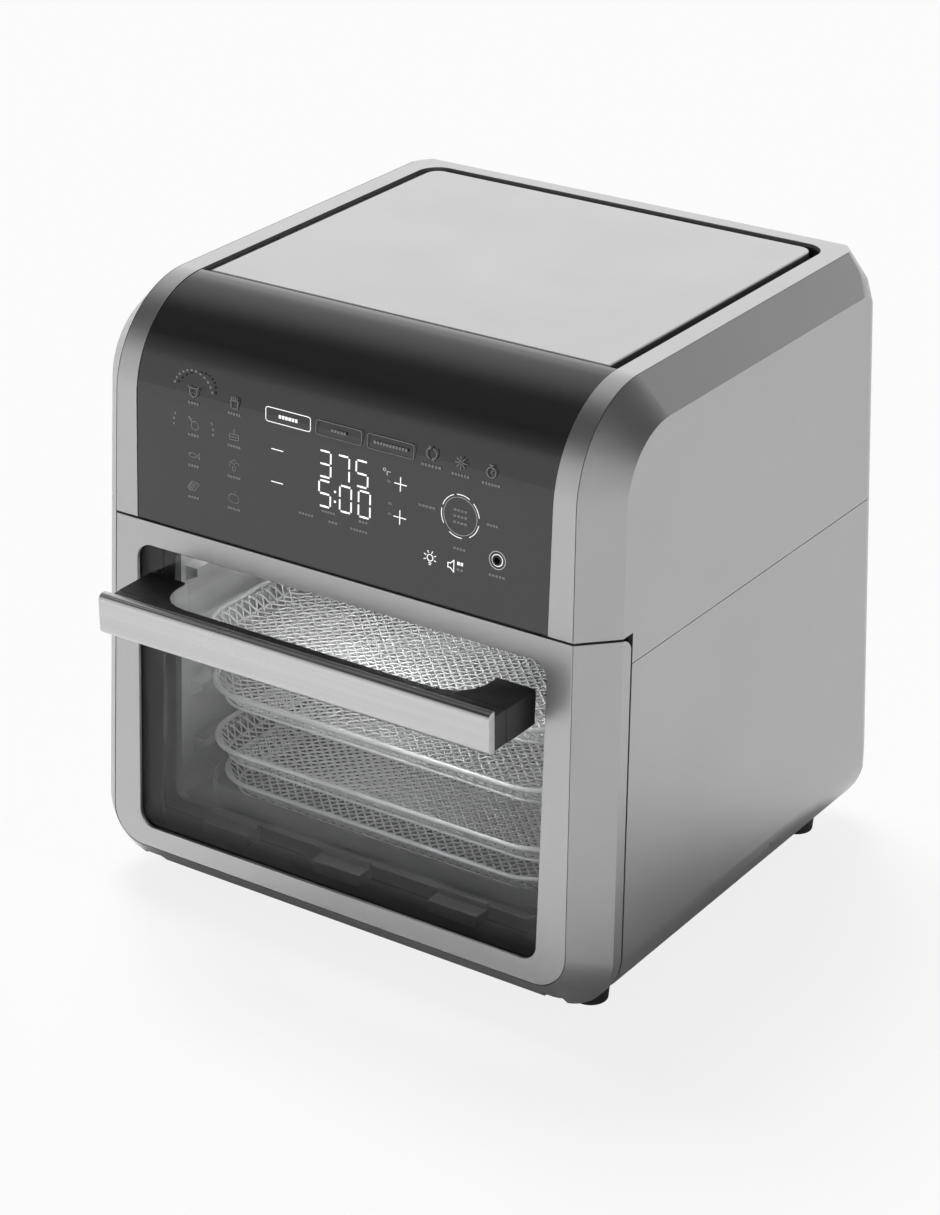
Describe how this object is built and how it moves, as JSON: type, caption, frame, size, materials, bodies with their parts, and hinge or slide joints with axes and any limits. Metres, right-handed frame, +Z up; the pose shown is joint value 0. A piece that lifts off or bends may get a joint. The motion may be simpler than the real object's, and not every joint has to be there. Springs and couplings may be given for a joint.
{
  "type": "rotisserie oven",
  "caption": "Counter-top air-fryer and rotisserie oven with a drop-down glass door, bar handle, touch control fascia and mesh trays on pressed rails.",
  "frame": {"origin": "under the middle of the whole oven, on the table plane that the feet stand on", "axes": "+X to the oven's right as seen by someone who faces the door from outside, -Y out of the door, +Z up"},
  "size_m": [0.3632, 0.3658, 0.3734],
  "materials": {
    "light_paint": "metallic satin paint on moulded plastic",
    "body_paint": "metallic satin paint on moulded plastic",
    "fascia_gloss": "gloss",
    "black_plastic": "matte",
    "zinc_plate": "plated",
    "foot_rubber": "matte",
    "bezel_metal": "satin",
    "seal_rubber": "matte",
    "cavity_steel": "brushed",
    "element_dark": "matte",
    "motor_case": "matte",
    "bright_steel": "polished",
    "fan_aluminium": "satin",
    "lamp_glass": "clear",
    "board_green": "matte",
    "display_dark": "gloss",
    "door_glass": "clear",
    "handle_metal": "satin",
    "wire_chrome": "polished",
    "pan_enamel": "gloss"
  },
  "bodies": {
    "housing": {"base_plate": "zinc_plate", "cavity_ceiling": "cavity_steel", "cavity_floor": "cavity_steel", "cavity_left": "cavity_steel", "cavity_rear": "cavity_steel", "cavity_right": "cavity_steel", "control_board": "board_green", "control_fascia": "fascia_gloss", "cord_gland": "black_plastic", "display_module": "display_dark", "door_gasket": "seal_rubber", "drive_motor": "motor_case", "element_guard": "cavity_steel", "fan_motor": "motor_case", "fascia_sill": "black_plastic", "foot_front_left": "foot_rubber", "foot_front_right": "foot_rubber", "foot_rear_left": "foot_rubber", "foot_rear_right": "foot_rubber", "front_top_frame": "light_paint", "heating_element": "element_dark", "hinge_bracket_left": "zinc_plate", "hinge_bracket_right": "zinc_plate", "lamp_bulb": "lamp_glass", "lamp_cover": "lamp_glass", "lamp_holder": "motor_case", "lower_housing": "body_paint", "motor_bridge": "zinc_plate", "mouth_bezel": "bezel_metal", "power_board": "board_green", "probe_socket": "black_plastic", "rear_grille": "zinc_plate", "temperature_sensor": "bright_steel", "top_plate": "light_paint", "top_recess": "black_plastic", "upper_housing": "body_paint"},
    "door": {"door_shell": "body_paint", "door_frame": "light_paint", "outer_glass": "door_glass", "inner_glass": "door_glass", "door_liner": "black_plastic", "glass_clip_1": "black_plastic", "glass_clip_2": "black_plastic", "glass_clip_3": "black_plastic", "handle_bar": "handle_metal", "handle_post_left": "black_plastic", "handle_post_right": "black_plastic", "handle_screw_left": "bright_steel", "handle_screw_right": "bright_steel", "hinge_arm_left": "zinc_plate", "hinge_arm_right": "zinc_plate"},
    "top_tray": {"mesh_tray_1": "wire_chrome"},
    "middle_tray": {"mesh_tray_2": "wire_chrome"},
    "lower_tray": {"mesh_tray_3": "wire_chrome"},
    "drip_tray": {"mesh_tray_4": "wire_chrome", "drip_pan": "pan_enamel"},
    "fan": {"fan_shaft": "bright_steel", "convection_fan": "fan_aluminium", "cooling_fan": "fan_aluminium"},
    "spit_drive": {"drive_socket": "bright_steel"}
  },
  "joints": [
    {"name": "door_hinge", "type": "hinge", "parent": "housing", "child": "door", "pos_m": [0, -0.1281, 0.024], "axis": [1, 0, 0], "range_deg": [0, 76]},
    {"name": "top_tray_slide", "type": "slide", "parent": "housing", "child": "top_tray", "axis": [0, -1, 0], "range_m": [0, 0.1137]},
    {"name": "middle_tray_slide", "type": "slide", "parent": "housing", "child": "middle_tray", "axis": [0, -1, 0], "range_m": [0, 0.0939]},
    {"name": "lower_tray_slide", "type": "slide", "parent": "housing", "child": "lower_tray", "axis": [0, -1, 0], "range_m": [0, 0.074]},
    {"name": "drip_tray_slide", "type": "slide", "parent": "housing", "child": "drip_tray", "axis": [0, -1, 0], "range_m": [0, 0.0342]},
    {"name": "fan_spin", "type": "hinge", "parent": "housing", "child": "fan", "pos_m": [0, 0.012, 0.27], "axis": [0, 0, 1], "continuous": true},
    {"name": "spit_spin", "type": "hinge", "parent": "housing", "child": "spit_drive", "pos_m": [0.14, 0.012, 0.138], "axis": [1, 0, 0], "continuous": true}
  ],
  "couplings": [
    {"joint": "top_tray_slide", "follows": "door_hinge", "m_per_rad": 0.085},
    {"joint": "middle_tray_slide", "follows": "door_hinge", "m_per_rad": 0.07},
    {"joint": "lower_tray_slide", "follows": "door_hinge", "m_per_rad": 0.055},
    {"joint": "drip_tray_slide", "follows": "door_hinge", "m_per_rad": 0.025}
  ]
}
